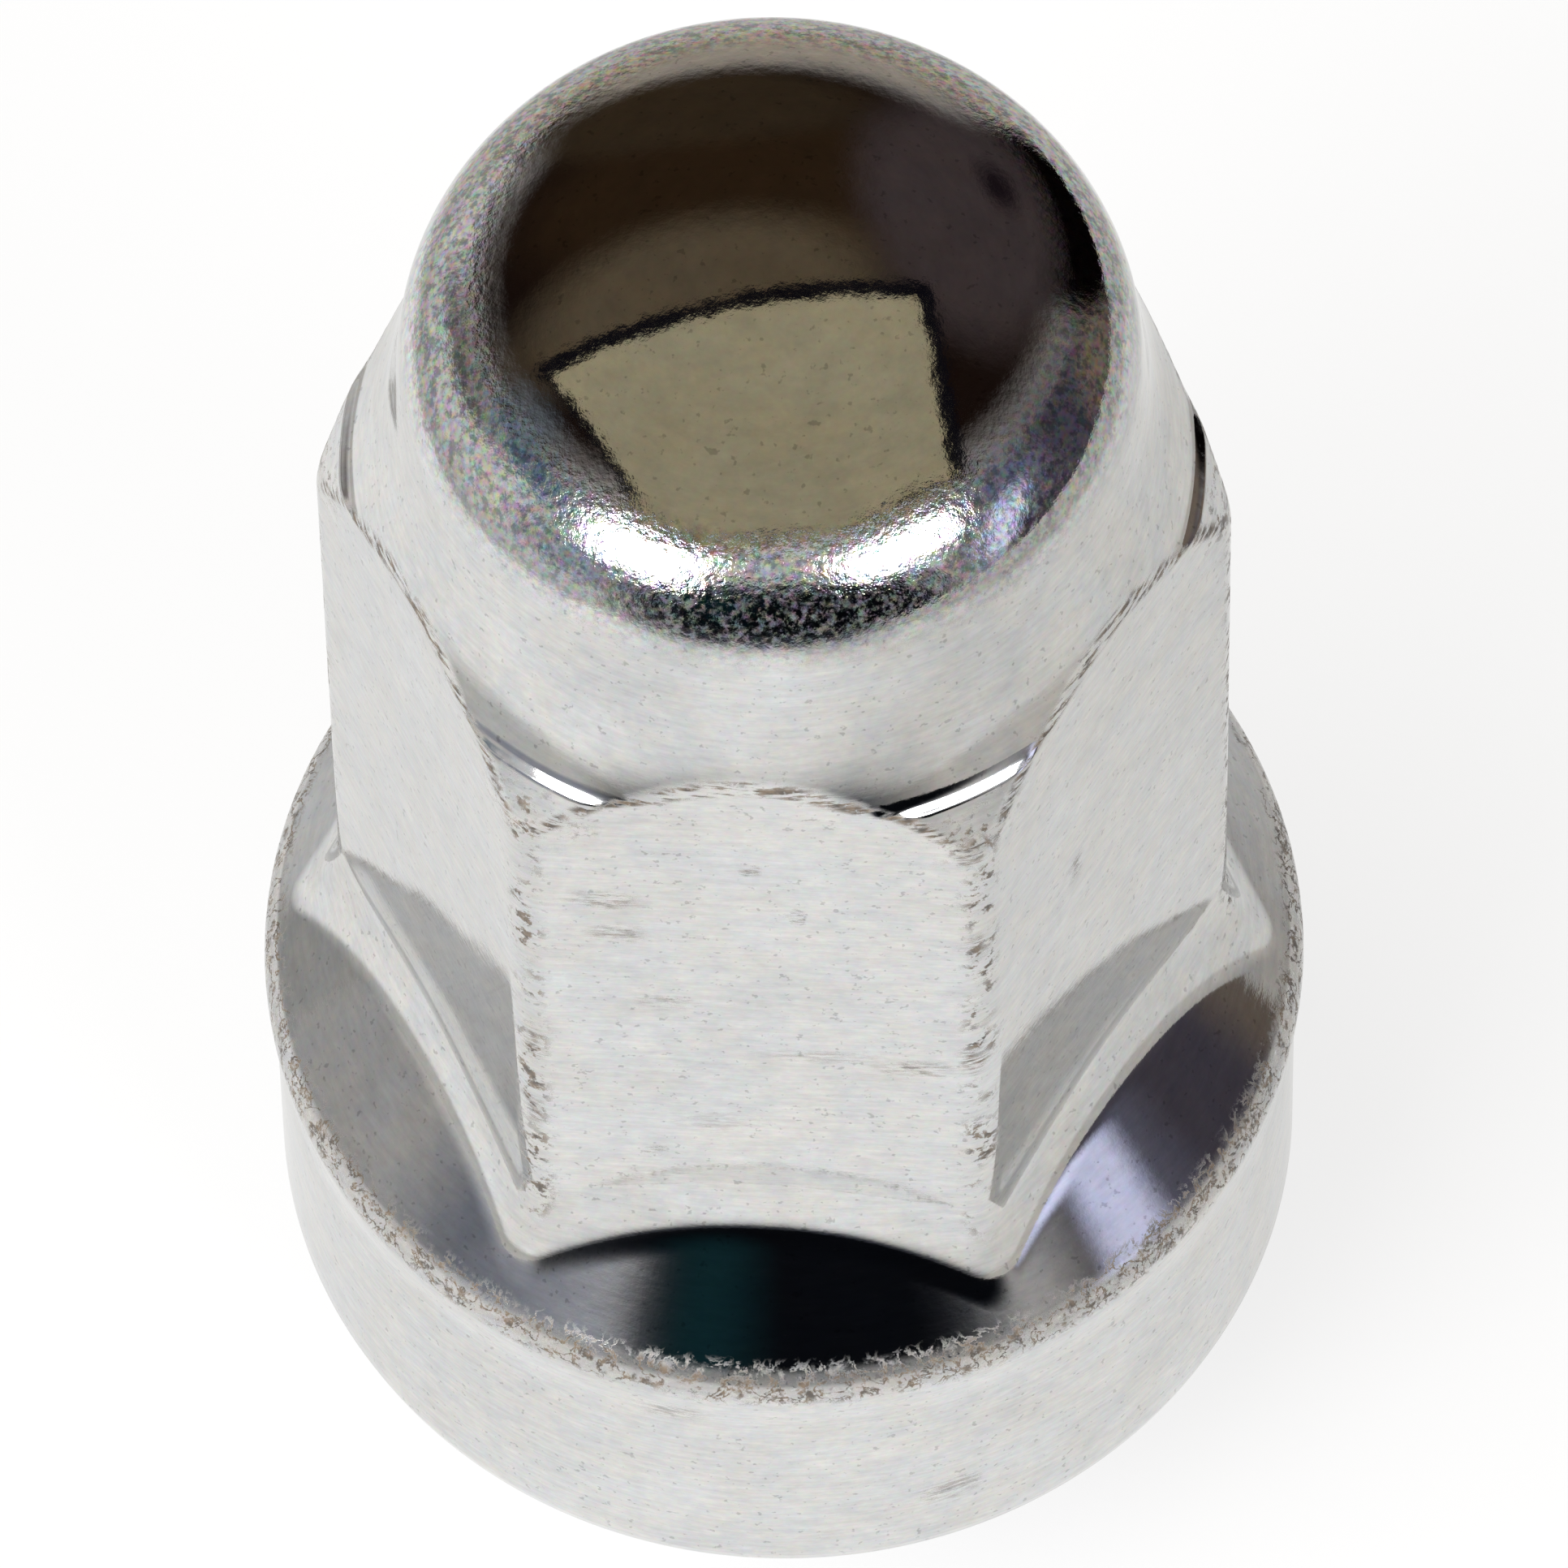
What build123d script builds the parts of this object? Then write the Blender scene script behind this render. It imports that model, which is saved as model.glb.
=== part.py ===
"""Closed-end bulge lug nut for an M12 wheel stud, forged in one piece from steel.

The nut stands on the flat end of its conical seat. The origin is the centre of that
end, +Z runs up along the thread axis, and a pair of wrench flats faces -Y and +Y.
"""
from build123d import *
from math import asin, cos, degrees, radians, sin, tan
import os

# ---- driving dimensions (mm, degrees) ---------------------------------------------

# blind bore, finished to the crests of the internal thread
THREAD_D = 12.0
THREAD_PITCH = 1.5
BORE_DEPTH = 33.0  # to the start of the drill point
DRILL_POINT_ANGLE = 118.0
MOUTH_D = 13.4
MOUTH_CHAMFER_ANGLE = 90.0

# conical seat that centres the wheel
SEAT_ANGLE = 60.0  # included
SEAT_END_D = 16.4

# bulge flange above the seat
FLANGE_BASE_D = 25.0
FLANGE_D = 25.4
BAND_H = 8.5  # from the seat up to the widest level
RIM_SWELL_H = 1.4  # height over which the upright band widens to the rim
BASE_CHAMFER = 0.2
RIM_R = 1.5

# flare that joins the flange to the hexagon
FLARE_SLOPE = 50.0  # from the horizontal
FLARE_R = 3.0
FLARE_SINK = 0.05  # of the flare's upright end below the flats

# hexagon
HEX_AF = 19.0  # across flats
HEX_EDGE_R = 1.1

# shoulder that cuts the corners of the hexagon down to the neck: the neck widens into a
# wide hollow, and a short heel below it ends at a lip inside each corner
NECK_FOOT_H = 26.74  # from the widest level of the flange to the end of the straight neck
HOLLOW_R = 5.5
HOLLOW_END_ANGLE = 31.0  # of its surface from the vertical, where the heel begins
HEEL_ANGLE = 45.0  # of the heel's surface from the vertical
HEEL_W = 0.57  # from the hollow to the lip, measured square to the axis
CORNER_SLOPE = 68.0  # from the horizontal, below the lip
CORNER_CLEARANCE = 0.06

# neck and dome
NECK_TAPER = 6.2  # half angle
NECK_TOP_D = 17.36
NECK_TOP_H = 29.0  # from the widest level of the flange
DOME_RISE = 4.7
DOME_SIDE_R = 3.6

# ---- levels and radii that follow from them ---------------------------------------

bore_r = (THREAD_D - 1.0825 * THREAD_PITCH) / 2  # ISO minor diameter of the nut thread
drill_point_h = bore_r / tan(radians(DRILL_POINT_ANGLE / 2))
base_r = FLANGE_BASE_D / 2
seat_half_angle = radians(SEAT_ANGLE / 2)
base_z = (base_r - SEAT_END_D / 2) / tan(seat_half_angle)
rim_z = base_z + BAND_H
neck_top_z = rim_z + NECK_TOP_H
top_z = neck_top_z + DOME_RISE

# the neck widens downwards to the hollow, which starts tangent to it
neck_top_r = NECK_TOP_D / 2
neck_foot_z = rim_z + NECK_FOOT_H
neck_foot_r = neck_top_r + (neck_top_z - neck_foot_z) * tan(radians(NECK_TAPER))
hollow_x = neck_foot_r + HOLLOW_R * cos(radians(NECK_TAPER))
hollow_z = neck_foot_z + HOLLOW_R * sin(radians(NECK_TAPER))
hollow_end_r = hollow_x - HOLLOW_R * cos(radians(HOLLOW_END_ANGLE))
hollow_end_z = hollow_z - HOLLOW_R * sin(radians(HOLLOW_END_ANGLE))
lip_r = hollow_end_r + HEEL_W
lip_z = hollow_end_z - HEEL_W / tan(radians(HEEL_ANGLE))

# the rounded corners of the hexagon end just inside the turned envelope
corner_gap = 1 / cos(radians(30)) - 1
corner_r = HEX_AF / 2 * (1 + corner_gap) - HEX_EDGE_R * corner_gap
envelope_r = max(corner_r, lip_r) + CORNER_CLEARANCE
corner_z = lip_z - (envelope_r - lip_r) * tan(radians(CORNER_SLOPE))

# the dome is a side arc, tangent to the neck, under a crown that is centred on the axis
side_x = neck_top_r - DOME_SIDE_R * cos(radians(NECK_TAPER))
side_z = neck_top_z - DOME_SIDE_R * sin(radians(NECK_TAPER))
crown_drop = top_z - side_z
crown_r = (side_x**2 + crown_drop**2 - DOME_SIDE_R**2) / (2 * (crown_drop - DOME_SIDE_R))
crown_half_angle = degrees(asin(side_x / (crown_r - DOME_SIDE_R)))

# the flare runs straight between the round of the rim and its own arc, which turns upright
flare_turn = 90 - FLARE_SLOPE
flare_top_r = HEX_AF / 2 - FLARE_SINK
rim_end_r = FLANGE_D / 2 - RIM_R * (1 - cos(radians(flare_turn)))
rim_end_z = rim_z + RIM_R * sin(radians(flare_turn))
flare_end_r = flare_top_r + FLARE_R * (1 - cos(radians(flare_turn)))
flare_end_z = rim_end_z + (rim_end_r - flare_end_r) * tan(radians(FLARE_SLOPE))
flare_top_z = flare_end_z + FLARE_R * sin(radians(flare_turn))

os.makedirs("parts", exist_ok=True)

with BuildPart() as lug_nut:
    # hexagon bar
    with BuildSketch(Plane.XY.offset(rim_z)) as bar_section:
        RegularPolygon(HEX_AF / 2, 6, major_radius=False)
        fillet(bar_section.vertices(), radius=HEX_EDGE_R)
    extrude(amount=2 * (top_z - rim_z))

    # the shoulder, the neck and the dome are turned out of the bar
    with BuildSketch(Plane.XZ):
        with BuildLine():
            Polyline(
                (envelope_r, rim_z),
                (envelope_r, corner_z),
                (lip_r, lip_z),
                (hollow_end_r, hollow_end_z),
            )
            CenterArc(
                (hollow_x, hollow_z),
                HOLLOW_R,
                180 + NECK_TAPER,
                arc_size=HOLLOW_END_ANGLE - NECK_TAPER,
            )
            Line((neck_foot_r, neck_foot_z), (neck_top_r, neck_top_z))
            CenterArc(
                (side_x, side_z),
                DOME_SIDE_R,
                NECK_TAPER,
                arc_size=90 - crown_half_angle - NECK_TAPER,
            )
            CenterArc(
                (0, top_z - crown_r),
                crown_r,
                90 - crown_half_angle,
                arc_size=crown_half_angle,
            )
            Polyline((0, top_z), (0, rim_z), (envelope_r, rim_z))
        make_face()
    revolve(axis=Axis.Z, mode=Mode.INTERSECT)

    # seat, bulge flange and flare
    with BuildSketch(Plane.XZ):
        with BuildLine():
            Polyline(
                (0, 0),
                (SEAT_END_D / 2, 0),
                (
                    base_r - BASE_CHAMFER * sin(seat_half_angle),
                    base_z - BASE_CHAMFER * cos(seat_half_angle),
                ),
                (base_r, base_z + BASE_CHAMFER),
                (base_r, rim_z - RIM_SWELL_H),
                (FLANGE_D / 2, rim_z),
            )
            CenterArc((FLANGE_D / 2 - RIM_R, rim_z), RIM_R, 0, arc_size=flare_turn)
            Line((rim_end_r, rim_end_z), (flare_end_r, flare_end_z))
            CenterArc((flare_top_r + FLARE_R, flare_top_z), FLARE_R, 180, arc_size=flare_turn)
            Polyline((flare_top_r, flare_top_z), (0, flare_top_z), (0, 0))
        make_face()
    revolve(axis=Axis.Z)

    # blind bore with a drill point and a chamfered mouth
    with Locations(Location((0, 0, 0), (180, 0, 0))):
        CounterSinkHole(
            bore_r, MOUTH_D / 2, depth=BORE_DEPTH, counter_sink_angle=MOUTH_CHAMFER_ANGLE
        )
    with Locations((0, 0, BORE_DEPTH)):
        Cone(
            bore_r,
            0,
            drill_point_h,
            align=(Align.CENTER, Align.CENTER, Align.MIN),
            mode=Mode.SUBTRACT,
        )

lug_nut.part.label = "lug_nut"
export_step(lug_nut.part, "parts/lug_nut.step")
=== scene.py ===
"""Chrome-plated closed-end lug nut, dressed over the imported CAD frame.

Lengths in the mesh code are in mm, and the mesh is scaled to metres as it is built. The
nut stands on the end of its conical seat, with the thread axis along +Z.
"""
from math import asin, cos, degrees, pi, radians, sin, tan

import bpy
import numpy as np
from mathutils import Matrix, Vector, noise


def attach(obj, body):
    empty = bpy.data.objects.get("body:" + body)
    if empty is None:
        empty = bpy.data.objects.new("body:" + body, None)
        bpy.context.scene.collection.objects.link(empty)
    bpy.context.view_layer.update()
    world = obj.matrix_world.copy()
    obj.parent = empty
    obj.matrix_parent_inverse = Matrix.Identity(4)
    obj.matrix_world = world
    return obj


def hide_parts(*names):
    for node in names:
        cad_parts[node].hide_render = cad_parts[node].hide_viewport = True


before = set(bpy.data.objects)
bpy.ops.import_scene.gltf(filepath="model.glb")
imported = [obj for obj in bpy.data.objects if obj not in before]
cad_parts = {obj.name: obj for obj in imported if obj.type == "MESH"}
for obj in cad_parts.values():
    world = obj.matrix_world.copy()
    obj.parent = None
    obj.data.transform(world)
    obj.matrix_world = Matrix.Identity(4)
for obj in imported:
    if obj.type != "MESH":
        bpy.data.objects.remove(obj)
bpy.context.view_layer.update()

MM = 0.001

# ---- the nut's sizes, as in its CAD source (mm, degrees) ----------------------------

THREAD_D = 12.0
THREAD_PITCH = 1.5
BORE_DEPTH = 33.0
DRILL_POINT_ANGLE = 118.0
MOUTH_D = 13.4
SEAT_ANGLE = 60.0
SEAT_END_D = 16.4
FLANGE_BASE_D = 25.0
FLANGE_D = 25.4
BAND_H = 8.5
RIM_SWELL_H = 1.4
BASE_CHAMFER = 0.2
RIM_R = 1.5
FLARE_SLOPE = 50.0
HEX_AF = 19.0
HEX_EDGE_R = 1.1
CORNER_SLOPE = 68.0
NECK_TAPER = 6.2
NECK_TOP_D = 17.36
NECK_TOP_H = 29.0
DOME_RISE = 4.7
DOME_SIDE_R = 3.6

# ---- forms that are finer than the CAD, or rounder ----------------------------------

NECK_FOOT_H = 27.7  # where the neck turns into the hollow, above the rim's widest level
HOLLOW_R = 10.7
HOLLOW_END_ANGLE = 26.0
HEEL_R = 0.7  # the heel is an arc here
LIP_ANGLE = 60.0  # of the heel's surface from the vertical, at the lip
LIP_R = 0.22
SHOULDER_BLEND = 0.15  # width over which the flats run into the shoulder
FILLET_FLAT_R = 3.4  # between the flats and the flare
FILLET_CORNER_R = 5.3  # the same below the corners
FILLET_SPREAD = 1.5  # how closely the larger fillet keeps to the corners
DENT = 0.006  # depth of the shallow waves that forging leaves
DENT_LENGTH = 3.4
DENT_SEED = 3.7
DENT_FADES = (4, 2, 0.8)  # mm below the dome, above the seat, inside the widest level

# ---- places that follow from the sizes ----------------------------------------------

MINOR_SHARE = 1.0825  # of the pitch, between the major and the minor diameter
PAST_CORNERS = 4.0  # mm by which the head's envelope runs on beyond the corners

bore_r = (THREAD_D - MINOR_SHARE * THREAD_PITCH) / 2
base_r = FLANGE_BASE_D / 2
seat_half_angle = radians(SEAT_ANGLE / 2)
base_z = (base_r - SEAT_END_D / 2) / tan(seat_half_angle)
rim_z = base_z + BAND_H
neck_top_z = rim_z + NECK_TOP_H
top_z = neck_top_z + DOME_RISE
neck_top_r = NECK_TOP_D / 2
neck_foot_z = rim_z + NECK_FOOT_H
neck_foot_r = neck_top_r + (neck_top_z - neck_foot_z) * tan(radians(NECK_TAPER))
corner_gap = 1 / cos(radians(30)) - 1
corner_r = HEX_AF / 2 * (1 + corner_gap) - HEX_EDGE_R * corner_gap
side_x = neck_top_r - DOME_SIDE_R * cos(radians(NECK_TAPER))
side_z = neck_top_z - DOME_SIDE_R * sin(radians(NECK_TAPER))
crown_drop = top_z - side_z
crown_r = (side_x**2 + crown_drop**2 - DOME_SIDE_R**2) / (2 * (crown_drop - DOME_SIDE_R))
crown_half_angle = degrees(asin(side_x / (crown_r - DOME_SIDE_R)))
flare_turn = 90 - FLARE_SLOPE
rim_end_r = FLANGE_D / 2 - RIM_R * (1 - cos(radians(flare_turn)))
rim_end_z = rim_z + RIM_R * sin(radians(flare_turn))


def arc(cx, cz, r, a0, a1, step):
    """Points (radius, height) of an arc from a0 to a1 degrees, about step mm apart."""
    n = max(2, int(abs(radians(a1 - a0)) * r / step) + 1)
    a = np.radians(np.linspace(a0, a1, n))
    return np.c_[cx + r * np.cos(a), cz + r * np.sin(a)]


def line(p, q, step):
    """Points (radius, height) of a straight run from p to q, about step mm apart."""
    n = max(2, int(np.hypot(q[0] - p[0], q[1] - p[1]) / step) + 1)
    return np.c_[np.linspace(p[0], q[0], n), np.linspace(p[1], q[1], n)]


def join(*runs):
    """One run out of several that meet end to end."""
    return np.vstack([runs[0]] + [r[1:] for r in runs[1:]])


def head_profile():
    """The turned envelope of the head, from the top of the dome to beyond the corners."""
    crown = arc(0, top_z - crown_r, crown_r, 90, 90 - crown_half_angle, 0.3)
    side = arc(side_x, side_z, DOME_SIDE_R, 90 - crown_half_angle, NECK_TAPER, 0.14)
    neck = line(side[-1], (neck_foot_r, neck_foot_z), 0.25)
    hx = neck_foot_r + HOLLOW_R * cos(radians(NECK_TAPER))
    hz = neck_foot_z + HOLLOW_R * sin(radians(NECK_TAPER))
    hollow = arc(hx, hz, HOLLOW_R, 180 + NECK_TAPER, 180 + HOLLOW_END_ANGLE, 0.12)
    ex = hx - (HOLLOW_R - HEEL_R) * cos(radians(HOLLOW_END_ANGLE))
    ez = hz - (HOLLOW_R - HEEL_R) * sin(radians(HOLLOW_END_ANGLE))
    heel = arc(ex, ez, HEEL_R, 180 + HOLLOW_END_ANGLE, 180 + LIP_ANGLE, 0.06)
    lip_r, lip_z = heel[-1]
    cx = lip_r - LIP_R * cos(radians(LIP_ANGLE))
    cz = lip_z - LIP_R * sin(radians(LIP_ANGLE))
    lip = arc(cx, cz, LIP_R, LIP_ANGLE, 90 - CORNER_SLOPE, 0.02)
    end_r, end_z = lip[-1]
    beyond = corner_r + PAST_CORNERS
    drop = (beyond - end_r) * tan(radians(CORNER_SLOPE))
    slope = line((end_r, end_z), (beyond, end_z - drop), 0.25)
    return join(crown, side, neck, hollow, heel, lip, slope), (lip_r, lip_z)


# ---- columns: denser round the six edges of the hexagon -----------------------------

SECTORS = 6
EDGE_ZONE = 4.0  # degrees each side of a corner
EDGE_COLUMNS = 20
FLAT_COLUMNS = 32
BORE_EVERY = 4  # outer columns to each column of the thread

zone = np.linspace(-EDGE_ZONE, EDGE_ZONE, EDGE_COLUMNS, endpoint=False)
rest = np.linspace(EDGE_ZONE, 60 - EDGE_ZONE, FLAT_COLUMNS, endpoint=False)
theta = np.radians(np.concatenate([60 * k + np.r_[zone, rest] for k in range(SECTORS)]))
COLUMNS = len(theta)


def hex_radius(th):
    """Polar radius of the hexagon with rounded corners; corners at 0, 60, ... degrees."""
    from_corner = np.abs((th + pi / 6) % (pi / 3) - pi / 6)
    from_flat = pi / 6 - from_corner
    centre = (HEX_AF / 2 - HEX_EDGE_R) / cos(pi / 6)
    tangent = np.arctan2(HEX_EDGE_R * sin(pi / 6), centre + HEX_EDGE_R * cos(pi / 6))
    off = centre * np.sin(from_corner)
    rounded = centre * np.cos(from_corner) + np.sqrt(np.maximum(HEX_EDGE_R**2 - off**2, 0))
    return np.where(from_corner < tangent, rounded, HEX_AF / 2 / np.cos(from_flat))


def soft_min(a, b, k):
    """The smaller of a and b, blended over a width k where they are close."""
    h = np.clip(0.5 + 0.5 * (b - a) / k, 0, 1)
    return b * (1 - h) + a * h - k * h * (1 - h)


hexagon = hex_radius(theta)

# ---- rows: some at fixed heights, some along the crease between flats and shoulder ----

head, (lip_r, lip_z) = head_profile()
LOWEST_CREASE = 0.6  # of the corner creases below the last shoulder row
FLAT_ROWS = 36
FILLET_ROWS = 22
SLOPE_ROWS = 20

crease_z = np.interp(hexagon, head[:, 0], head[:, 1])
CREASE_STEPS = np.linspace(-1.3, 1.3, 9)  # in blend widths, across the crease
LIP_STEPS = np.linspace(0.12, -0.12, 5)  # mm, across the lip
ROW_GAP = 0.006  # mm, the least between two rows
crease_rows = [np.interp(hexagon + t * SHOULDER_BLEND, head[:, 0], head[:, 1])
               for t in CREASE_STEPS]
lip_rows = [np.full(COLUMNS, lip_z + t) for t in LIP_STEPS]
shoulder_top = head[:, 1] > crease_z.min() - LOWEST_CREASE
fixed = [np.full(COLUMNS, z) for z in head[1:][shoulder_top[1:], 1]]
upper = -np.sort(-np.array(fixed + crease_rows + lip_rows), axis=0)
for i in range(1, len(upper)):
    upper[i] = np.minimum(upper[i], upper[i - 1] - ROW_GAP)

# below them a fillet joins each column to the flare, and the flare runs on to the rim
corner_share = (hexagon - HEX_AF / 2) / (hexagon.max() - HEX_AF / 2)
fillet = FILLET_FLAT_R + (FILLET_CORNER_R - FILLET_FLAT_R) * corner_share**FILLET_SPREAD
foot_z = rim_end_z + (rim_end_r - hexagon) * tan(radians(FLARE_SLOPE))
fillet_z = foot_z + fillet * tan(radians(flare_turn / 2))
flats = upper[-1] + (fillet_z - upper[-1]) * np.linspace(0, 1, FLAT_ROWS)[1:-1, None]
wall = np.vstack([upper, flats])
turned = np.interp(-wall, -head[:, 1], head[:, 0])
radius = soft_min(hexagon[None], turned, SHOULDER_BLEND)

bend = np.radians(np.linspace(0, flare_turn, FILLET_ROWS))[:, None]
fillet_r = hexagon + fillet * (1 - np.cos(bend))
fillet_row_z = fillet_z - fillet * np.sin(bend)
share = np.linspace(0, 1, SLOPE_ROWS)[1:-1, None]
slope_r = fillet_r[-1] + (rim_end_r - fillet_r[-1]) * share
slope_z = fillet_row_z[-1] + (rim_end_z - fillet_row_z[-1]) * share
rim = arc(FLANGE_D / 2 - RIM_R, rim_z, RIM_R, flare_turn, 0, 0.09)
radius = np.vstack([radius, fillet_r, slope_r, np.repeat(rim[:, :1], COLUMNS, 1)])
wall = np.vstack([wall, fillet_row_z, slope_z, np.repeat(rim[:, 1:], COLUMNS, 1)])

# ---- band, chamfer and seat are plain turned forms ------------------------------------

seat_top_r = base_r - BASE_CHAMFER * sin(seat_half_angle)
seat_top_z = base_z - BASE_CHAMFER * cos(seat_half_angle)
swell = line((FLANGE_D / 2, rim_z), (base_r, rim_z - RIM_SWELL_H), 0.35)
band = line((base_r, rim_z - RIM_SWELL_H), (base_r, base_z + BASE_CHAMFER), 0.5)
chamfer = line((base_r, base_z + BASE_CHAMFER), (seat_top_r, seat_top_z), 0.07)
seat = line((seat_top_r, seat_top_z), (SEAT_END_D / 2, 0), 0.6)
under = join(swell, band, chamfer, seat)[1:]
radius = np.vstack([radius, np.repeat(under[:, :1], COLUMNS, 1)])
wall = np.vstack([wall, np.repeat(under[:, 1:], COLUMNS, 1)])


def waves(x, y, z, length, seed):
    """Smooth noise, one value for each point."""
    points = np.stack([x, y, z], axis=-1).reshape(-1, 3) / length + seed
    return np.array([noise.noise(Vector(p)) for p in points]).reshape(x.shape)


# shallow waves, which fade out towards the dome, the seat and the widest level
x, y = radius * np.cos(theta), radius * np.sin(theta)
fade_top, fade_seat, fade_rim = DENT_FADES
waving = np.clip((neck_top_z - wall) / fade_top, 0, 1)
waving = waving * np.clip((wall - base_z) / fade_seat, 0, 1)
waving = waving * np.clip((FLANGE_D / 2 - radius) / fade_rim, 0, 1)
radius = radius - DENT * waving * (1 + waves(x, y, wall, DENT_LENGTH, DENT_SEED))
outer = np.stack([radius * np.cos(theta), radius * np.sin(theta), wall], axis=2)

# ---- thread -------------------------------------------------------------------------

bore_theta = theta[::BORE_EVERY]
BORE_COLUMNS = len(bore_theta)
THREAD_ROWS = 8  # to each turn
THREAD_DEPTH = THREAD_D / 2 - bore_r
FLANK_GAIN, CREST_FLAT = 1.35, 0.15  # steepen the flanks and level the crest
RUNOUT_TURNS = 2  # over which the thread fades at the bore's end


def thread_rows():
    """Rows of points of the bore, from its mouth up to the start of the drill point."""
    mouth = MOUTH_D / 2 - THREAD_D / 2
    step = THREAD_PITCH / THREAD_ROWS
    zs = np.arange(step, BORE_DEPTH, step)
    out = []
    for z in zs:
        phase = (z / THREAD_PITCH - bore_theta / (2 * pi)) % 1
        wave = np.clip(FLANK_GAIN * (1 - np.abs(2 * phase - 1)) - CREST_FLAT, 0, 1)
        wave = wave * wave * (3 - 2 * wave)
        runout = min(1, (BORE_DEPTH - z) / (RUNOUT_TURNS * THREAD_PITCH))
        r = bore_r + THREAD_DEPTH * wave * runout
        r = np.maximum(r, THREAD_D / 2 + mouth - z)
        out.append(np.stack([r * np.cos(bore_theta), r * np.sin(bore_theta),
                             np.full(BORE_COLUMNS, z)], axis=1))
    return np.array(out)


bore = thread_rows()

# ---- one closed mesh ----------------------------------------------------------------

verts = [(0.0, 0.0, top_z)]
faces = []


def add_rows(block):
    """Adds rows of points and the quads between them; returns the indices by row."""
    n_rows, n_cols = block.shape[:2]
    first = len(verts)
    verts.extend(map(tuple, block.reshape(-1, 3)))
    ids = first + np.arange(n_rows * n_cols).reshape(n_rows, n_cols)
    for a, b in zip(ids[:-1], ids[1:]):
        a2, b2 = np.roll(a, -1), np.roll(b, -1)
        faces.extend(map(tuple, np.stack([a, b, b2, a2], axis=1)))
    return ids


ids = add_rows(outer)
for a, b in zip(ids[0], np.roll(ids[0], -1)):
    faces.append((0, int(a), int(b)))
mouth_ring = np.stack(
    [MOUTH_D / 2 * np.cos(bore_theta), MOUTH_D / 2 * np.sin(bore_theta),
     np.zeros(BORE_COLUMNS)], axis=1)
bore_ids = add_rows(np.concatenate([mouth_ring[None], bore]))
for j in range(BORE_COLUMNS):
    inner, inner_next = bore_ids[0][j], bore_ids[0][(j + 1) % BORE_COLUMNS]
    span = [ids[-1][(j * BORE_EVERY + i) % COLUMNS] for i in range(BORE_EVERY + 1)]
    half = BORE_EVERY // 2
    for i in range(half):
        faces.append((int(span[i]), int(inner), int(span[i + 1])))
    faces.append((int(span[half]), int(inner), int(inner_next)))
    for i in range(half, BORE_EVERY):
        faces.append((int(span[i]), int(inner_next), int(span[i + 1])))
tip = len(verts)
verts.append((0.0, 0.0, BORE_DEPTH + bore_r / tan(radians(DRILL_POINT_ANGLE / 2))))
for a, b in zip(bore_ids[-1], np.roll(bore_ids[-1], -1)):
    faces.append((int(a), tip, int(b)))

mesh = bpy.data.meshes.new("lug_nut_body")
mesh.from_pydata([(x * MM, y * MM, z * MM) for x, y, z in verts], [],
                 [tuple(int(i) for i in f) for f in faces])
mesh.validate()
mesh.update()
mesh.polygons.foreach_set("use_smooth", [True] * len(mesh.polygons))
nut = bpy.data.objects.new("lug_nut_body", mesh)
bpy.context.scene.collection.objects.link(nut)

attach(nut, "root")
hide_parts("lug_nut")

# ---- where the dirt and the wear sit, and where the flare's painted shade and painted light go, as values at the points ---

EDGE_REACH = 0.55  # mm, each side of the hexagon's edges
CREASE_REACH = 0.16  # mm, at the crease between flats and shoulder
POCKET_FROM = 10.1  # mm from the axis, where the ledges at the corners begin
POCKET_BELOW = 0.45  # mm outside the lip
RIM_ABOVE = 0.62  # mm above the rim's widest level
RIM_REACH = 0.55


def near(value, width):
    """1 where the value is zero, falling to 0 a few widths away."""
    return np.exp(-(value / width) ** 2)


turned = np.interp(-wall, -head[:, 1], head[:, 0])
from_edge = np.abs((theta + pi / 6) % (pi / 3) - pi / 6) * radius
on_flat = near(radius - hexagon, 0.25)
on_slope = np.clip((radius - fillet_r[-1]) / 0.25 + 1, 0, 1) * (wall > rim_end_z - 0.01)
sideways = np.abs(np.cos(theta))
at_sides = np.clip((sideways - 0.3) / 0.3, 0, 1)
in_front = np.clip((0.5 - sideways) / 0.25, 0, 1) * (np.sin(theta) < 0)
on_ledge = np.clip((hexagon - POCKET_FROM) / 0.5, 0, 1)
marks = {
    # the two flare masks place painted light, not dirt: a painted highlight in front,
    # painted shade at the sides
    "flare_front": on_slope * in_front,
    "flare": on_slope * at_sides,
    "edge": near(from_edge, EDGE_REACH) * on_flat,
    "crease": near(hexagon - turned, CREASE_REACH) * (wall > lip_z - 1.5),
    "pocket": on_ledge * near(turned - lip_r - POCKET_BELOW, 0.3),
    "rim": near(wall - rim_z - RIM_ABOVE, RIM_REACH),
}
for name, values in marks.items():
    layer = mesh.attributes.new(name, "FLOAT", "POINT")
    spread = np.zeros(len(mesh.vertices), dtype=np.float32)
    spread[1:1 + values.size] = values.astype(np.float32).ravel()
    layer.data.foreach_set("value", spread)

# ---- node helpers -------------------------------------------------------------------


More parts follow.
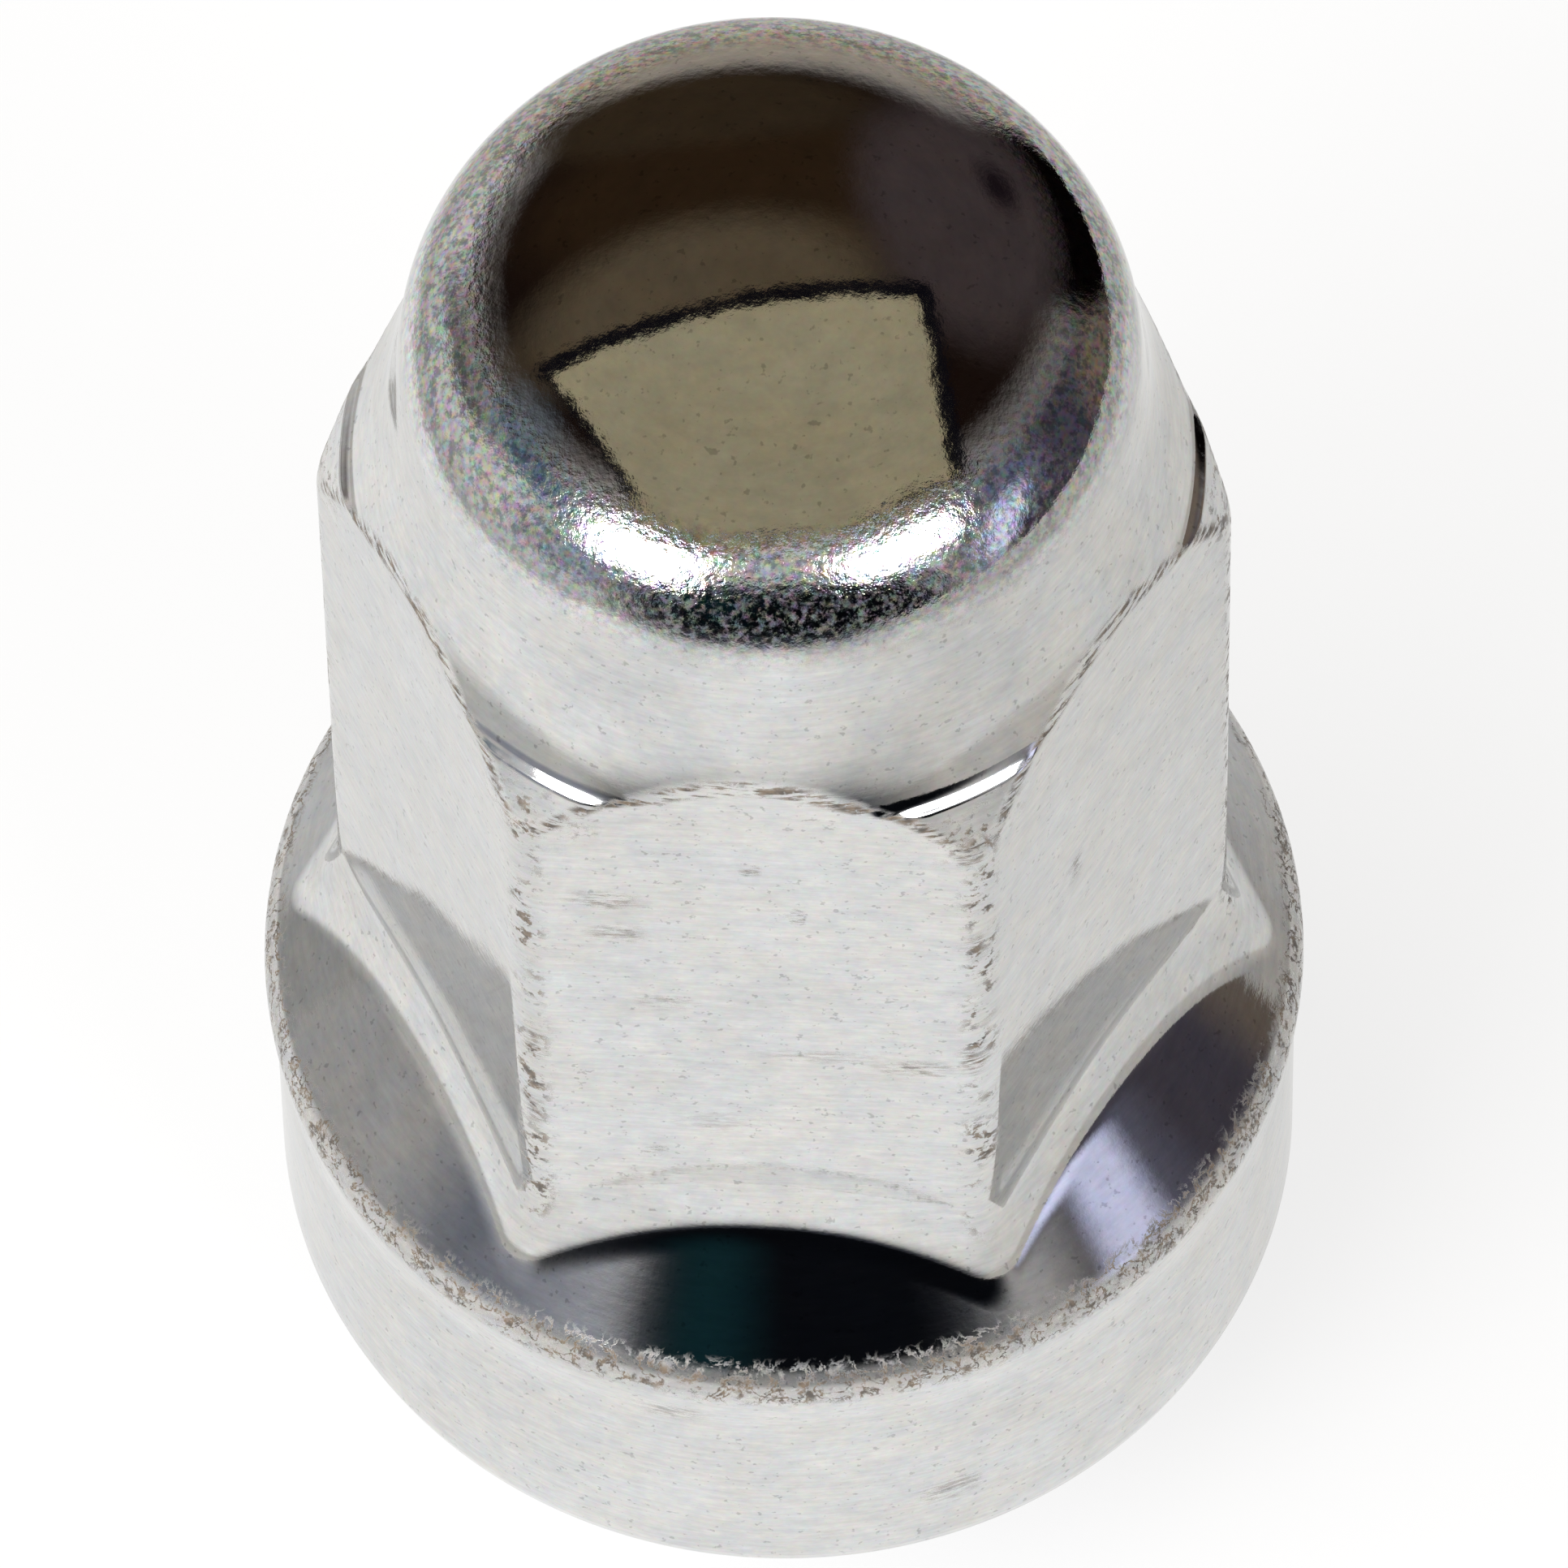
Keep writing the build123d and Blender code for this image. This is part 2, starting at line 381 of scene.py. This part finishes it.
class Nodes:
    """Short ways to add and link the nodes of one tree."""

    def __init__(self, tree):
        self.tree = tree
        tree.nodes.clear()

    def node(self, kind, **settings):
        """A node with its settings."""
        n = self.tree.nodes.new(kind)
        for key, value in settings.items():
            setattr(n, key, value)
        return n

    def feed(self, socket, value):
        """Links a socket to the value, or sets it."""
        if isinstance(value, bpy.types.NodeSocket):
            self.tree.links.new(value, socket)
        else:
            socket.default_value = value

    def math(self, operation, *values):
        """Arithmetic on plain values."""
        n = self.node("ShaderNodeMath", operation=operation)
        for socket, value in zip(n.inputs, values):
            self.feed(socket, value)
        return n.outputs[0]

    def vector(self, operation, *values):
        """Arithmetic on vectors."""
        n = self.node("ShaderNodeVectorMath", operation=operation)
        for socket, value in zip(n.inputs, values):
            self.feed(socket, value)
        return n.outputs["Value"] if operation in ("LENGTH", "DOT_PRODUCT") else n.outputs[0]

    def ramp(self, value, lo, hi, to_lo=0.0, to_hi=1.0):
        """A smooth step from to_lo to to_hi as the value goes from lo to hi."""
        n = self.node("ShaderNodeMapRange", interpolation_type="SMOOTHSTEP")
        for socket, v in zip(n.inputs, (value, lo, hi, to_lo, to_hi)):
            self.feed(socket, v)
        return n.outputs[0]

    def mix(self, factor, a, b, blend="MIX"):
        """Colour a, blended with colour b by the factor."""
        n = self.node("ShaderNodeMix", data_type="RGBA", blend_type=blend)
        self.feed(n.inputs[0], factor)
        self.feed(n.inputs[6], a)
        self.feed(n.inputs[7], b)
        return n.outputs[2]

    def noise(self, vector, scale, detail=2.0, roughness=0.5, distortion=0.0):
        """Noise from 0 to 1; the scale is in waves to a unit of the vector."""
        n = self.node("ShaderNodeTexNoise")
        self.feed(n.inputs["Vector"], vector)
        n.inputs["Scale"].default_value = scale
        n.inputs["Detail"].default_value = detail
        n.inputs["Roughness"].default_value = roughness
        n.inputs["Distortion"].default_value = distortion
        return n.outputs[0]

    def colours(self, vector, scale, detail):
        """Coloured noise."""
        n = self.node("ShaderNodeTexNoise")
        self.feed(n.inputs["Vector"], vector)
        n.inputs["Scale"].default_value = scale
        n.inputs["Detail"].default_value = detail
        return n.outputs["Color"]

    def wander(self, vector, scale, detail):
        """Noise as a vector round zero, to make straight borders ragged."""
        return self.vector("SUBTRACT", self.colours(vector, scale, detail), (0.5, 0.5, 0.5))

    def spot(self, vector, place, half, soft):
        """Mask of an ellipsoid at a place, with the given half sizes."""
        q = self.vector("DIVIDE", self.vector("SUBTRACT", vector, place), half)
        return self.ramp(self.vector("LENGTH", q), 1 + soft, 1 - soft)

    def layer(self, name):
        """A value stored at the mesh points."""
        return self.node("ShaderNodeAttribute", attribute_name=name).outputs["Fac"]


def srgb(r, g, b, scale=1.0):
    """A linear colour from 0-255 sRGB values, times scale."""
    out = []
    for c in (r, g, b):
        c = c / 255
        out.append(scale * (c / 12.92 if c <= 0.04045 else ((c + 0.055) / 1.055) ** 2.4))
    return (*out, 1.0)


# ---- chrome -------------------------------------------------------------------------

PLATING_SHADE = 0.705
CLOUD_SWING, MOTTLE_SWING, GRAIN_SWING = 0.16, 0.2, 0.28
SPECK_DARKENS = 0.2
COOL, WARM = (0.985, 1.0, 1.012, 1), (1.01, 1.0, 0.972, 1)
# the painted dark speckle on the ring round the dome
PAINTED_RING_SPECK = (0.12, 0.16, 0.2, 1)
# painted shade for the flare's left and right sides, and painted light for its front
PAINTED_SHADE_LEFT, PAINTED_SHADE_RIGHT = (0.61, 0.61, 0.615, 1), (0.73, 0.73, 0.74, 1)
PAINTED_LIGHT_FRONT = (1.28, 1.28, 1.28, 1)
DARK_DIRT, BROWN_DIRT = (0.04, 0.026, 0.015, 1), (0.15, 0.1, 0.055, 1)
# colours of the painted flecks in the dome's mirrored dark band
TEAL_PAINTED_FLECK, TAN_PAINTED_FLECK = (0.06, 0.11, 0.13, 1), (0.17, 0.14, 0.09, 1)
SMOOTHEST = 0.03  # roughness of clean plating
# heights of the relief, in mm
PEEL, RING_PEEL = 0.0006, 0.012
WAVE, DOME_WAVE, RING_WAVE = 0.001, 0.0025, 0.01
GRAIN_DEPTH = 0.0007
PIT_DEPTH = 0.0012

chrome = bpy.data.materials.new("speckled_chrome")
chrome.use_nodes = True
c = Nodes(chrome.node_tree)
metres = c.node("ShaderNodeTexCoord").outputs["Object"]
mm = c.vector("MULTIPLY", metres, (1 / MM, 1 / MM, 1 / MM))
along = c.vector("MULTIPLY", mm, (1, 1, 6))  # stretched level with the floor
parts = c.node("ShaderNodeSeparateXYZ")
c.feed(parts.inputs[0], mm)
to_right, to_back, height = parts.outputs
on_dome = c.ramp(height, neck_top_z, neck_top_z + 2)
on_ring = c.math("MULTIPLY", on_dome, c.ramp(height, neck_top_z + 3.1, neck_top_z + 2.6))

# the plating: patches a few millimetres wide, finer mottling, a level grain and specks
cloud = c.noise(mm, 0.35, 3)
mottle = c.noise(mm, 1.6, 4, 0.6)
grain = c.noise(along, 1.1, 4, 0.65)
speck = c.ramp(c.noise(mm, 5.0, 2), 0.36, 0.28)
shade = c.math("MULTIPLY", c.math("SUBTRACT", cloud, 0.5), CLOUD_SWING)
for pattern, swing in ((mottle, MOTTLE_SWING), (grain, GRAIN_SWING)):
    change = c.math("MULTIPLY", c.math("SUBTRACT", pattern, 0.5), swing)
    shade = c.math("ADD", shade, change)
shade = c.math("ADD", shade, c.math("MULTIPLY", speck, -SPECK_DARKENS))
shade = c.math("ADD", shade, PLATING_SHADE)
grey = c.node("ShaderNodeCombineColor")
for socket in grey.inputs:
    c.feed(socket, shade)
warmth = c.mix(c.ramp(c.noise(mm, 0.8, 3), 0.38, 0.62), COOL, WARM)
plating = c.mix(1.0, grey.outputs[0], warmth, "MULTIPLY")

# faint coloured specks at random all over; on the ring round the dome they are strong, as a
# painted colour fringe of the mirrored highlights, with painted dark speckle of the mirrored
# ring there
tint = c.vector("MULTIPLY", c.colours(mm, 5.5, 1), (2, 2, 2))
tint_share = c.math("ADD", 0.08, c.math("MULTIPLY", on_ring, 0.6))
plating = c.mix(tint_share, plating, c.mix(1.0, plating, tint, "MULTIPLY"))
painted_ring_speck = c.math("MULTIPLY", c.ramp(c.noise(mm, 3.6, 5, 0.7), 0.47, 0.6), on_ring)
plating = c.mix(c.math("MULTIPLY", painted_ring_speck, 0.6), plating, PAINTED_RING_SPECK)

# painted light on the flare: painted shade makes it greyer at its sides and a painted
# highlight makes it brighter in front, in place of what it mirrors
at_left = c.ramp(to_right, 2, -2)
flare_painted_light = c.mix(c.layer("flare"), (1, 1, 1, 1), c.mix(at_left, PAINTED_SHADE_RIGHT, PAINTED_SHADE_LEFT))
flare_painted_light = c.mix(c.layer("flare_front"), flare_painted_light, PAINTED_LIGHT_FRONT)
plating = c.mix(1.0, plating, flare_painted_light, "MULTIPLY")

# dirt in thin squiggles round the rim and along the creases, pits on the hexagon's edges
rim = c.layer("rim")
squiggle = c.noise(mm, 1.5, 5, 0.62, 0.4)
ridge = c.math("ABSOLUTE", c.math("SUBTRACT", squiggle, 0.5))
rim_line = c.math("MULTIPLY", c.ramp(ridge, 0.035, 0.01), c.ramp(rim, 0.2, 0.7))
rim_spot = c.ramp(c.noise(mm, 2.6, 5, 0.68), 0.48, 0.64)
rim_spot = c.math("MULTIPLY", rim_spot, c.ramp(rim, 0.3, 0.9))
rim_film = c.math("MULTIPLY", c.ramp(rim, 0.4, 1.0), 0.35)
rim_dirt = c.math("MAXIMUM", c.math("MAXIMUM", rim_line, rim_spot), rim_film)
patchy = c.ramp(c.noise(mm, 0.5, 2), 0.38, 0.52)
edge_spot = c.ramp(c.noise(mm, 2.6, 5, 0.66, 0.3), 0.5, 0.58)
edge_dirt = c.math("MULTIPLY", edge_spot, c.ramp(c.layer("edge"), 0.2, 0.9))
edge_dirt = c.math("MULTIPLY", edge_dirt, patchy)
crease_spot = c.ramp(c.noise(along, 1.3, 4, 0.6), 0.44, 0.58)
crease_dirt = c.math("MULTIPLY", crease_spot, c.ramp(c.layer("crease"), 0.3, 0.95))
pocket_spot = c.ramp(c.noise(mm, 2.4, 5, 0.65), 0.52, 0.62)
pocket_dirt = c.math("MULTIPLY", pocket_spot, c.layer("pocket"))
dirt = c.math("MAXIMUM", c.math("MAXIMUM", rim_dirt, edge_dirt),
              c.math("MAXIMUM", crease_dirt, pocket_dirt))
dirt = c.math("MULTIPLY", dirt, c.ramp(c.noise(mm, 7, 2), 0.2, 0.45))

# single marks in mm: place on the nut, half sizes, strength
SMUDGES = (
    ((-3.5, -9.5, 35.3), (0.75, 0.6, 0.35), 0.8),
    ((-3.2, -9.5, 33.7), (0.6, 0.6, 0.3), 0.7),
    ((-2.1, -9.5, 30.4), (0.55, 0.6, 0.3), 0.55),
    ((3.8, -9.5, 27.6), (0.75, 0.6, 0.3), 0.8),
    ((1.6, -9.5, 28.0), (1.2, 0.6, 0.25), 0.4),
    ((-1.0, -9.5, 24.5), (0.9, 0.6, 0.4), 0.3),
    ((4.6, -11.6, 9.9), (0.7, 0.6, 0.5), 0.7),
    ((-2.0, -12.3, 14.9), (0.8, 0.6, 0.4), 0.7),
    ((7.4, -6.1, 31.7), (0.2, 0.3, 0.5), 0.8),
    ((5.1, -9.5, 38.1), (0.3, 0.5, 0.4), 1.0),
    ((5.3, -9.5, 33.7), (0.3, 0.5, 0.5), 1.0),
    ((5.2, -9.5, 28.1), (0.3, 0.5, 0.6), 1.0),
    ((-5.3, -9.5, 28.0), (0.25, 0.5, 0.8), 0.9),
    ((-5.4, -9.5, 24.4), (0.25, 0.5, 0.7), 0.9),
    ((1.1, -9.5, 34.9), (0.15, 0.5, 0.3), 0.9),
    ((0.0, -9.5, 37.1), (0.2, 0.5, 0.15), 0.9),
    ((-2.5, -9.5, 22.9), (0.25, 0.5, 0.15), 0.9),
)
ragged = c.vector("ADD", mm, c.vector("MULTIPLY", c.wander(mm, 1.8, 4), (1.1, 1.1, 0.8)))
broken = c.ramp(c.noise(along, 1.6, 5, 0.7), 0.4, 0.6)
for place, half, strength in SMUDGES:
    smudge = c.math("MULTIPLY", c.spot(ragged, place, half, 0.7), strength)
    dirt = c.math("MAXIMUM", dirt, c.math("MULTIPLY", smudge, broken))

brown = c.mix(c.ramp(c.noise(mm, 4, 3), 0.35, 0.65), DARK_DIRT, BROWN_DIRT)
base = c.mix(c.math("MULTIPLY", dirt, 0.92), plating, brown)

# painted flecks on the front of the dome's round, under the highlights: dulled teal and tan
# specks, as painted speckle in its mirrored dark band
painted_fleck = c.ramp(c.noise(mm, 4.5, 5, 0.75, 0.1), 0.46, 0.64)
low_ring = c.math("MULTIPLY", c.ramp(height, neck_top_z, neck_top_z + 0.5),
                  c.ramp(height, neck_top_z + 2.8, neck_top_z + 1.6))
low_ring = c.math("MULTIPLY", low_ring, c.ramp(to_back, -2.5, -6))
painted_fleck = c.math("MULTIPLY", c.math("MULTIPLY", painted_fleck, low_ring), 0.3)
painted_fleck_tone = c.mix(c.ramp(c.noise(mm, 1.7, 2), 0.4, 0.6), TEAL_PAINTED_FLECK, TAN_PAINTED_FLECK)
base = c.mix(painted_fleck, base, painted_fleck_tone)

rough = c.math("ADD", SMOOTHEST, c.math("MULTIPLY", grain, 0.04))
rough = c.math("ADD", rough, c.math("MULTIPLY", dirt, 0.4))
metallic = c.math("SUBTRACT", 1, c.math("MULTIPLY", dirt, 0.95))
metallic = c.math("SUBTRACT", metallic, c.math("MULTIPLY", painted_fleck, 0.9))

# relief: orange peel all over, the grain on the flats, pits under the dirt
uneven = c.math("MULTIPLY", on_ring, c.ramp(to_right, 7, 3.5, 0.25, 1))
fine = c.math("ADD", PEEL, c.math("MULTIPLY", uneven, RING_PEEL))
fine = c.math("MULTIPLY", c.noise(mm, 5.5, 3, 0.65), fine)
wide = c.math("ADD", WAVE, c.math("MULTIPLY", on_dome, DOME_WAVE))
wide = c.math("ADD", wide, c.math("MULTIPLY", uneven, RING_WAVE))
wide = c.math("MULTIPLY", c.noise(mm, 2.6, 4, 0.6), wide)
lined = c.math("MULTIPLY", grain, GRAIN_DEPTH)
pitted = c.math("MULTIPLY", dirt, -PIT_DEPTH)
relief = c.math("ADD", c.math("ADD", fine, wide), c.math("ADD", lined, pitted))
bump = c.node("ShaderNodeBump")
bump.inputs["Distance"].default_value = MM
c.feed(bump.inputs["Height"], relief)

principled = c.node("ShaderNodeBsdfPrincipled")
c.feed(principled.inputs["Base Color"], base)
c.feed(principled.inputs["Metallic"], metallic)
c.feed(principled.inputs["Roughness"], rough)
c.feed(principled.inputs["Normal"], bump.outputs[0])
surface = c.node("ShaderNodeOutputMaterial")
c.tree.links.new(principled.outputs[0], surface.inputs[0])
mesh.materials.append(chrome)

# ---- camera -------------------------------------------------------------------------

VIEW_TURN = 4.5
VIEW_ELEVATION = 61.5
VIEW_ROLL = -1.352
VIEW_PITCH = 0.4215  # lifts the aim off the middle of the rim
DISTANCE = 535.7  # mm, from the middle of the rim
LENS = 503.1  # mm, on a sensor 36 mm wide
SENSOR = 36

az, el = radians(VIEW_TURN), radians(VIEW_ELEVATION)
back = Vector((sin(az) * cos(el), -cos(az) * cos(el), sin(el)))
right = Vector((cos(az), sin(az), 0))
up = back.cross(right)
roll, pitch = radians(VIEW_ROLL), radians(VIEW_PITCH)
right_r = right * cos(roll) + up * sin(roll)
up_r = up * cos(roll) - right * sin(roll)
back_p = back * cos(pitch) - up_r * sin(pitch)
up_p = up_r * cos(pitch) + back * sin(pitch)
stand = Vector((0, 0, rim_z)) * MM + back * (DISTANCE * MM)
camera_data = bpy.data.cameras.new("camera")
camera_data.lens = LENS
camera_data.sensor_width = SENSOR
camera_data.clip_start = 0.05
camera_data.clip_end = 10
camera = bpy.data.objects.new("camera", camera_data)
camera.matrix_world = Matrix((
    (right_r.x, up_p.x, back_p.x, stand.x),
    (right_r.y, up_p.y, back_p.y, stand.y),
    (right_r.z, up_p.z, back_p.z, stand.z),
    (0, 0, 0, 1),
))
bpy.context.scene.collection.objects.link(camera)
bpy.context.scene.camera = camera

# ---- studio -------------------------------------------------------------------------

F0 = 0.71  # the share of the light that the chrome sends back
HORIZON_HAZE = (100, 108)  # degrees from the zenith, where the room's floor takes over

world = bpy.data.worlds.new("studio")
bpy.context.scene.world = world
world.use_nodes = True
w = Nodes(world.node_tree)
coords = w.node("ShaderNodeTexCoord").outputs["Generated"]
turn = w.node("ShaderNodeVectorRotate", rotation_type="Z_AXIS")
w.feed(turn.inputs["Vector"], coords)
turn.inputs["Angle"].default_value = -az
split = w.node("ShaderNodeSeparateXYZ")
w.feed(split.inputs[0], turn.outputs[0])
x, y, z = split.outputs
# degrees from the zenith, spread out on a flat map whose -v side faces the camera
from_zenith = w.math("MULTIPLY", w.math("ARCCOSINE", z), 180 / pi)
flat = w.math("SQRT", w.math("ADD", w.math("MULTIPLY", x, x), w.math("MULTIPLY", y, y)))
scale = w.math("DIVIDE", from_zenith, w.math("MAXIMUM", flat, 1e-5))
uv = w.node("ShaderNodeCombineXYZ")
w.feed(uv.inputs[0], w.math("MULTIPLY", x, scale))
w.feed(uv.inputs[1], w.math("MULTIPLY", y, scale))
uv = uv.outputs[0]


def blob(centre, half, angle, soft):
    """Mask of an elliptic patch of the surroundings, in degrees on the map."""
    m = w.node("ShaderNodeMapping", vector_type="TEXTURE")
    w.feed(m.inputs["Vector"], uv)
    m.inputs["Location"].default_value = (*centre, 0)
    m.inputs["Rotation"].default_value = (0, 0, radians(angle))
    m.inputs["Scale"].default_value = (*half, 1)
    return w.ramp(w.vector("LENGTH", m.outputs[0]), 1 + soft, 1 - soft)


def paint(mask, colour):
    """The sky with a patch that the chrome shows in this sRGB colour."""
    return w.mix(mask, sky, srgb(*colour, 1 / F0))


# patches of the room, the later over the earlier: place on the map, half sizes, turn,
# softness of the border and the colour that the chrome shows
WALLS = (
    ((0, 96), (80, 22), 0, 0.3, (150, 140, 126)),
    ((88, -6), (44, 60), 0, 0.3, (64, 60, 68)),
    ((92, 34), (30, 22), 0, 0.4, (96, 86, 78)),
    ((-62, -50), (30, 16), -40, 0.5, (126, 128, 136)),
    ((62, -22), (20, 14), -20, 0.5, (92, 92, 106)),
)
CEILING = (
    ((0, 28), (59, 58), 0, 0.12, (104, 99, 96)),
    ((0, 28), (54, 54), 0, 0.07, (20, 12, 9)),
    ((-4, 46), (40, 22), 0, 0.3, (36, 25, 15)),
    ((-14, 21), (34, 17), 8, 0.35, (74, 64, 50)),
    ((-12, 70), (30, 11), 0, 0.3, (42, 33, 23)),
    ((58, 58), (30, 26), 38, 0.2, (5, 3, 3)),
    ((-54, -8), (9, 18), 10, 0.6, (84, 98, 110)),
    ((-68, 24), (9, 28), 0, 0.6, (106, 102, 100)),
    ((36, 45), (18, 30), 14, 0.3, (54, 46, 46)),
    ((42, 56), (3, 6), 25, 0.8, (20, 14, 18)),
)
DARK_BAND_IN_FRONT = (
    ((6, -80), (68, 25), 0, 0.35, (52, 54, 60)),
    ((10, -81), (60, 21), 0, 0.35, (6, 7, 10)),
    ((-20, -70), (10, 12), 0, 0.9, (9, 28, 32)),
)
SPILL_OF_LAMPS = (
    ((-35, -41), (16, 18), 0, 0.4, (196, 198, 204)),
    ((33, -40), (18, 15), 0, 0.4, (196, 198, 204)),
    ((72, -38), (8, 17), 30, 0.6, (212, 215, 245)),
)
sky = srgb(178, 176, 174, 1 / F0)
for patch in WALLS + CEILING + DARK_BAND_IN_FRONT + SPILL_OF_LAMPS:
    sky = paint(blob(*patch[:4]), patch[4])

# the pale panel over the camera: a point on each edge, the way it faces, its frame's width
PANEL_EDGES = (
    ((-7.0, 16.6), 98.8, 3.5),
    ((32.0, 6.5), 13.6, 3.5),
    ((24.0, -22.5), -57.3, 2.0),
    ((-2.5, -30.0), -84.5, 1.0),
    ((-23.5, -26.0), -131.3, 1.5),
    ((-36.5, -3.0), -153.4, 2.0),
)
jagged = w.vector("ADD", uv, w.vector("MULTIPLY", w.wander(uv, 0.4, 4), (3.2, 3.2, 0)))
panel, panel_frame = 1, 1
for place, facing, width in PANEL_EDGES:
    outward = (cos(radians(facing)), sin(radians(facing)), 0)
    from_edge = w.vector("SUBTRACT", jagged, (*place, 0))
    from_edge = w.vector("DOT_PRODUCT", from_edge, outward)
    panel = w.math("MULTIPLY", panel, w.ramp(from_edge, 0.5, -0.5))
    framed = w.ramp(from_edge, width + 0.7, width - 0.7)
    panel_frame = w.math("MULTIPLY", panel_frame, framed)
sky = paint(panel_frame, (10, 9, 14))
sky = paint(panel, (133, 125, 102))
sky = paint(w.ramp(from_zenith, *HORIZON_HAZE), (160, 154, 148))

# the camera itself sees plain white
paths = w.node("ShaderNodeLightPath")
seen = w.node("ShaderNodeBackground")
w.feed(seen.inputs["Color"], (1, 1, 1, 1))
room = w.node("ShaderNodeBackground")
w.feed(room.inputs["Color"], sky)
either = w.node("ShaderNodeMixShader")
w.feed(either.inputs[0], paths.outputs["Is Camera Ray"])
w.tree.links.new(room.outputs[0], either.inputs[1])
w.tree.links.new(seen.outputs[0], either.inputs[2])
out = w.node("ShaderNodeOutputWorld")
w.tree.links.new(either.outputs[0], out.inputs[0])

LAMP_AIM = Vector((0, 0, 0.02))  # metres; about the middle of the nut


def softbox(name, azimuth, elevation, distance, width, tall, power, glossy=True):
    """An area light on a sphere round the nut; azimuth runs right from the camera's side."""
    a, e = radians(azimuth) + az, radians(elevation)
    aim = Vector((sin(a) * cos(e), -cos(a) * cos(e), sin(e)))
    light = bpy.data.lights.new(name, "AREA")
    light.shape = "RECTANGLE"
    light.size = width
    light.size_y = tall
    light.energy = power
    lamp = bpy.data.objects.new(name, light)
    lamp.location = aim * distance + LAMP_AIM
    lamp.rotation_euler = aim.to_track_quat("Z", "Y").to_euler()
    lamp.visible_glossy = glossy
    bpy.context.scene.collection.objects.link(lamp)


softbox("softbox_left", -39, 38, 0.8, 0.36, 0.36, 2.5)
softbox("softbox_right", 38, 39, 0.8, 0.38, 0.29, 2.0)
softbox("overhead_fill", -60, 62, 0.9, 0.7, 0.7, 6.4, glossy=False)

# ---- floor: its own shade for the nut's shadow, white wherever the light reaches ------

FLOOR_R = 0.25
FLOOR_SIDES = 96
# painted shade: what the chrome mirrors of the paper, by place
PALE, SHADED_RIGHT = (0.91, 0.91, 0.905, 1), (0.7, 0.695, 0.68, 1)
SHADED_LEFT, FAR_LEFT = (0.84, 0.84, 0.835, 1), (0.52, 0.515, 0.5, 1)
FAR_OUT = (0.52, 0.5, 0.475, 1)
UNDER_DARK_BAND = (0.03, 0.032, 0.04, 1)
PAPER = 0.9  # the share of the light that the paper sends back
EVEN_TO_CAMERA, EVEN_IN_MIRROR = 0.75, 0.75  # shares shown without the light's fall-off

floor_mesh = bpy.data.meshes.new("floor")
around = np.linspace(0, 2 * pi, FLOOR_SIDES + 1)[:-1]
ring = [(FLOOR_R * cos(a), FLOOR_R * sin(a), 0) for a in around]
floor_mesh.from_pydata(ring, [], [tuple(range(len(ring)))])
floor = bpy.data.objects.new("floor", floor_mesh)
bpy.context.scene.collection.objects.link(floor)
paper = bpy.data.materials.new("white_floor")
paper.use_nodes = True
f = Nodes(paper.node_tree)
paths = f.node("ShaderNodeLightPath")
direct = paths.outputs["Is Camera Ray"]
mirrored = f.math("MAXIMUM", paths.outputs["Is Glossy Ray"],
                  paths.outputs["Is Transmission Ray"])
ground = f.node("ShaderNodeTexCoord").outputs["Object"]
along_floor = f.node("ShaderNodeSeparateXYZ")
f.feed(along_floor.inputs[0], ground)
ground_x, ground_y = along_floor.outputs[0], along_floor.outputs[1]
reach = f.vector("LENGTH", ground)
# painted shade in the mirrored paper: pale near the nut, shaded at both sides, brown-grey
# farther out, dark far in front
tone = f.mix(f.ramp(ground_x, 0.0, 0.04), PALE, SHADED_RIGHT)
near_left = f.math("MULTIPLY", f.ramp(ground_x, -0.005, -0.018),
                   f.ramp(ground_x, -0.05, -0.03))
tone = f.mix(near_left, tone, SHADED_LEFT)
tone = f.mix(f.ramp(ground_x, -0.07, -0.1), tone, FAR_LEFT)
far_right = f.ramp(ground_x, 0.075, 0.095)
behind = f.ramp(ground_y, 0.04, 0.06)
tone = f.mix(f.math("MAXIMUM", far_right, behind), tone, FAR_OUT)
ahead = f.ramp(f.math("DIVIDE", ground_y, reach), -0.75, -0.97)
ahead = f.math("MULTIPLY", ahead, f.ramp(reach, 0.07, 0.2))
tone = f.mix(ahead, tone, UNDER_DARK_BAND)
tone = f.mix(mirrored, (1, 1, 1, 1), tone)
diffuse = f.node("ShaderNodeBsdfDiffuse")
lit = f.mix(1.0, tone, (PAPER, PAPER, PAPER, 1), "MULTIPLY")
f.feed(diffuse.inputs["Color"], lit)
glow = f.node("ShaderNodeEmission")
f.feed(glow.inputs["Color"], tone)
even = f.math("ADD", f.math("MULTIPLY", direct, EVEN_TO_CAMERA),
              f.math("MULTIPLY", mirrored, EVEN_IN_MIRROR))
mixed = f.node("ShaderNodeMixShader")
f.feed(mixed.inputs[0], even)
f.tree.links.new(diffuse.outputs[0], mixed.inputs[1])
f.tree.links.new(glow.outputs[0], mixed.inputs[2])
out = f.node("ShaderNodeOutputMaterial")
f.tree.links.new(mixed.outputs[0], out.inputs[0])
floor_mesh.materials.append(paper)

bpy.context.scene.view_settings.view_transform = "Standard"
